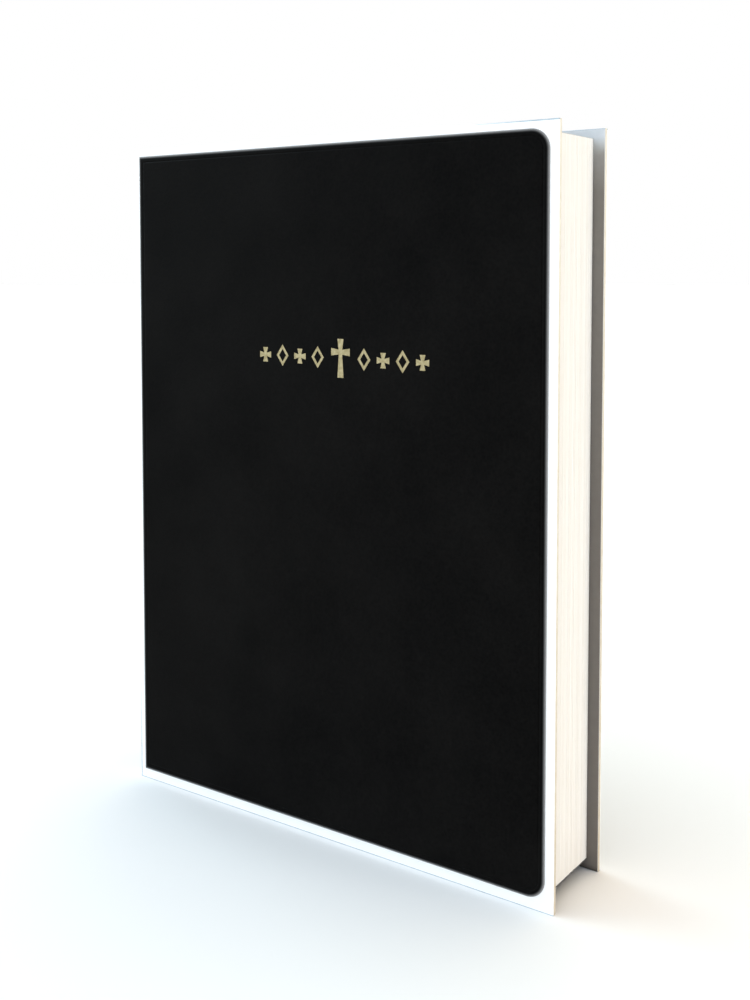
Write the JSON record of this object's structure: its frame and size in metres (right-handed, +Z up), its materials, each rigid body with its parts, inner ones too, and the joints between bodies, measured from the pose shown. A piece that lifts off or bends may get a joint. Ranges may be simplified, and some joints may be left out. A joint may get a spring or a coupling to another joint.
{
  "type": "bible",
  "caption": "Hardback bible standing closed on its tail edge: white case with black leather cover panels, gold foil ornament, square flat spine and sewn leaves that open.",
  "frame": {"origin": "centre of the bounding box's bottom face, on the surface that the book stands on", "axes": "+X from the spine to the fore-edge, +Y from the front cover to the back cover, +Z up, from tail to head"},
  "size_m": [0.1768, 0.0348, 0.24],
  "materials": {
    "greyboard": "raw pressed board",
    "covering": "smooth matt white covering paper",
    "leather": "fine grain, satin",
    "gold_foil": "hot-stamped foil, satin",
    "endpaper": "uncoated, grey",
    "bible_paper": "thin, uncoated, smooth-cut edges",
    "cotton": "woven tape and thread",
    "gauze": "open-weave gauze",
    "kraft": "brown kraft paper",
    "band_cloth": "woven silk-like bead"
  },
  "bodies": {
    "spine": {"spine_board": "greyboard", "spine_wrap": "covering", "front_joint": "covering", "back_joint": "covering", "spine_panel": "leather", "spine_rules": "gold_foil", "sewn_folds": "bible_paper", "sewing_tapes": "cotton", "sewing_thread": "cotton", "mull": "gauze", "hollow_tube": "kraft", "headband": "band_cloth", "tailband": "band_cloth"},
    "front_cover": {"front_board": "greyboard", "front_cover_wrap": "covering", "front_panel": "leather", "front_ornament": "gold_foil", "front_pastedown": "endpaper"},
    "back_cover": {"back_board": "greyboard", "back_cover_wrap": "covering", "back_panel": "leather", "back_pastedown": "endpaper"},
    "front_flyleaf": {"front_flyleaf": "endpaper"},
    "back_flyleaf": {"back_flyleaf": "endpaper"},
    "gathering_01": {"gathering_01": "bible_paper"},
    "gathering_02": {"gathering_02": "bible_paper"},
    "gathering_03": {"gathering_03": "bible_paper"},
    "gathering_04": {"gathering_04": "bible_paper"},
    "gathering_05": {"gathering_05": "bible_paper"},
    "gathering_06": {"gathering_06": "bible_paper"},
    "gathering_07": {"gathering_07": "bible_paper"},
    "gathering_08": {"gathering_08": "bible_paper"},
    "gathering_09": {"gathering_09": "bible_paper"},
    "gathering_10": {"gathering_10": "bible_paper"},
    "gathering_11": {"gathering_11": "bible_paper"},
    "gathering_12": {"gathering_12": "bible_paper"},
    "gathering_13": {"gathering_13": "bible_paper"},
    "gathering_14": {"gathering_14": "bible_paper"},
    "gathering_15": {"gathering_15": "bible_paper"},
    "gathering_16": {"gathering_16": "bible_paper"},
    "gathering_17": {"gathering_17": "bible_paper"},
    "gathering_18": {"gathering_18": "bible_paper"},
    "gathering_19": {"gathering_19": "bible_paper"},
    "gathering_20": {"gathering_20": "bible_paper"},
    "gathering_21": {"gathering_21": "bible_paper"},
    "gathering_22": {"gathering_22": "bible_paper"},
    "gathering_23": {"gathering_23": "bible_paper"},
    "gathering_24": {"gathering_24": "bible_paper"}
  },
  "joints": [
    {"name": "front_cover_hinge", "type": "hinge", "parent": "spine", "child": "front_cover", "pos_m": [-0.0868, -0.0158, 0], "axis": [0, 0, -1], "range_deg": [0, 175], "deforming": ["front_joint"]},
    {"name": "back_cover_hinge", "type": "hinge", "parent": "spine", "child": "back_cover", "pos_m": [-0.0868, 0.0158, 0], "axis": [0, 0, 1], "range_deg": [0, 175], "deforming": ["back_joint"]},
    {"name": "front_flyleaf_turn", "type": "hinge", "parent": "spine", "child": "front_flyleaf", "pos_m": [-0.08315, -0.01512, 0], "axis": [0, 0, -1], "range_deg": [0, 131.25]},
    {"name": "back_flyleaf_turn", "type": "hinge", "parent": "spine", "child": "back_flyleaf", "pos_m": [-0.08315, 0.01512, 0], "axis": [0, 0, 1], "range_deg": [0, 131.25]},
    {"name": "gathering_01_turn", "type": "hinge", "parent": "spine", "child": "gathering_01", "pos_m": [-0.083, -0.01498, 0], "axis": [0, 0, -1], "range_deg": [0, 87.5]},
    {"name": "gathering_02_turn", "type": "hinge", "parent": "spine", "child": "gathering_02", "pos_m": [-0.08175, -0.01372, 0], "axis": [0, 0, -1], "range_deg": [0, 80.21]},
    {"name": "gathering_03_turn", "type": "hinge", "parent": "spine", "child": "gathering_03", "pos_m": [-0.0805, -0.01247, 0], "axis": [0, 0, -1], "range_deg": [0, 72.92]},
    {"name": "gathering_04_turn", "type": "hinge", "parent": "spine", "child": "gathering_04", "pos_m": [-0.07925, -0.01123, 0], "axis": [0, 0, -1], "range_deg": [0, 65.62]},
    {"name": "gathering_05_turn", "type": "hinge", "parent": "spine", "child": "gathering_05", "pos_m": [-0.078, -0.00997, 0], "axis": [0, 0, -1], "range_deg": [0, 58.33]},
    {"name": "gathering_06_turn", "type": "hinge", "parent": "spine", "child": "gathering_06", "pos_m": [-0.07675, -0.00873, 0], "axis": [0, 0, -1], "range_deg": [0, 51.04]},
    {"name": "gathering_07_turn", "type": "hinge", "parent": "spine", "child": "gathering_07", "pos_m": [-0.0755, -0.00747, 0], "axis": [0, 0, -1], "range_deg": [0, 43.75]},
    {"name": "gathering_08_turn", "type": "hinge", "parent": "spine", "child": "gathering_08", "pos_m": [-0.07425, -0.00622, 0], "axis": [0, 0, -1], "range_deg": [0, 36.46]},
    {"name": "gathering_09_turn", "type": "hinge", "parent": "spine", "child": "gathering_09", "pos_m": [-0.073, -0.00498, 0], "axis": [0, 0, -1], "range_deg": [0, 29.17]},
    {"name": "gathering_10_turn", "type": "hinge", "parent": "spine", "child": "gathering_10", "pos_m": [-0.07175, -0.00373, 0], "axis": [0, 0, -1], "range_deg": [0, 21.88]},
    {"name": "gathering_11_turn", "type": "hinge", "parent": "spine", "child": "gathering_11", "pos_m": [-0.0705, -0.00248, 0], "axis": [0, 0, -1], "range_deg": [0, 14.58]},
    {"name": "gathering_12_turn", "type": "hinge", "parent": "spine", "child": "gathering_12", "pos_m": [-0.06925, -0.00122, 0], "axis": [0, 0, -1], "range_deg": [0, 7.29]},
    {"name": "gathering_13_turn", "type": "hinge", "parent": "spine", "child": "gathering_13", "pos_m": [-0.06925, 0.00122, 0], "axis": [0, 0, 1], "range_deg": [0, 7.29]},
    {"name": "gathering_14_turn", "type": "hinge", "parent": "spine", "child": "gathering_14", "pos_m": [-0.0705, 0.00248, 0], "axis": [0, 0, 1], "range_deg": [0, 14.58]},
    {"name": "gathering_15_turn", "type": "hinge", "parent": "spine", "child": "gathering_15", "pos_m": [-0.07175, 0.00373, 0], "axis": [0, 0, 1], "range_deg": [0, 21.88]},
    {"name": "gathering_16_turn", "type": "hinge", "parent": "spine", "child": "gathering_16", "pos_m": [-0.073, 0.00498, 0], "axis": [0, 0, 1], "range_deg": [0, 29.17]},
    {"name": "gathering_17_turn", "type": "hinge", "parent": "spine", "child": "gathering_17", "pos_m": [-0.07425, 0.00622, 0], "axis": [0, 0, 1], "range_deg": [0, 36.46]},
    {"name": "gathering_18_turn", "type": "hinge", "parent": "spine", "child": "gathering_18", "pos_m": [-0.0755, 0.00747, 0], "axis": [0, 0, 1], "range_deg": [0, 43.75]},
    {"name": "gathering_19_turn", "type": "hinge", "parent": "spine", "child": "gathering_19", "pos_m": [-0.07675, 0.00873, 0], "axis": [0, 0, 1], "range_deg": [0, 51.04]},
    {"name": "gathering_20_turn", "type": "hinge", "parent": "spine", "child": "gathering_20", "pos_m": [-0.078, 0.00997, 0], "axis": [0, 0, 1], "range_deg": [0, 58.33]},
    {"name": "gathering_21_turn", "type": "hinge", "parent": "spine", "child": "gathering_21", "pos_m": [-0.07925, 0.01123, 0], "axis": [0, 0, 1], "range_deg": [0, 65.62]},
    {"name": "gathering_22_turn", "type": "hinge", "parent": "spine", "child": "gathering_22", "pos_m": [-0.0805, 0.01247, 0], "axis": [0, 0, 1], "range_deg": [0, 72.92]},
    {"name": "gathering_23_turn", "type": "hinge", "parent": "spine", "child": "gathering_23", "pos_m": [-0.08175, 0.01372, 0], "axis": [0, 0, 1], "range_deg": [0, 80.21]},
    {"name": "gathering_24_turn", "type": "hinge", "parent": "spine", "child": "gathering_24", "pos_m": [-0.083, 0.01498, 0], "axis": [0, 0, 1], "range_deg": [0, 87.5]}
  ],
  "couplings": [
    {"joint": "front_flyleaf_turn", "follows": "front_cover_hinge", "ratio": 0.75},
    {"joint": "back_flyleaf_turn", "follows": "back_cover_hinge", "ratio": 0.75},
    {"joint": "gathering_01_turn", "follows": "front_cover_hinge", "ratio": 0.5},
    {"joint": "gathering_02_turn", "follows": "front_cover_hinge", "ratio": 0.45833},
    {"joint": "gathering_03_turn", "follows": "front_cover_hinge", "ratio": 0.41666},
    {"joint": "gathering_04_turn", "follows": "front_cover_hinge", "ratio": 0.375},
    {"joint": "gathering_05_turn", "follows": "front_cover_hinge", "ratio": 0.33333},
    {"joint": "gathering_06_turn", "follows": "front_cover_hinge", "ratio": 0.29166},
    {"joint": "gathering_07_turn", "follows": "front_cover_hinge", "ratio": 0.25},
    {"joint": "gathering_08_turn", "follows": "front_cover_hinge", "ratio": 0.20833},
    {"joint": "gathering_09_turn", "follows": "front_cover_hinge", "ratio": 0.16666},
    {"joint": "gathering_10_turn", "follows": "front_cover_hinge", "ratio": 0.125},
    {"joint": "gathering_11_turn", "follows": "front_cover_hinge", "ratio": 0.08333},
    {"joint": "gathering_12_turn", "follows": "front_cover_hinge", "ratio": 0.04166},
    {"joint": "gathering_13_turn", "follows": "back_cover_hinge", "ratio": 0.04166},
    {"joint": "gathering_14_turn", "follows": "back_cover_hinge", "ratio": 0.08333},
    {"joint": "gathering_15_turn", "follows": "back_cover_hinge", "ratio": 0.125},
    {"joint": "gathering_16_turn", "follows": "back_cover_hinge", "ratio": 0.16666},
    {"joint": "gathering_17_turn", "follows": "back_cover_hinge", "ratio": 0.20833},
    {"joint": "gathering_18_turn", "follows": "back_cover_hinge", "ratio": 0.25},
    {"joint": "gathering_19_turn", "follows": "back_cover_hinge", "ratio": 0.29166},
    {"joint": "gathering_20_turn", "follows": "back_cover_hinge", "ratio": 0.33333},
    {"joint": "gathering_21_turn", "follows": "back_cover_hinge", "ratio": 0.375},
    {"joint": "gathering_22_turn", "follows": "back_cover_hinge", "ratio": 0.41666},
    {"joint": "gathering_23_turn", "follows": "back_cover_hinge", "ratio": 0.45833},
    {"joint": "gathering_24_turn", "follows": "back_cover_hinge", "ratio": 0.5}
  ]
}
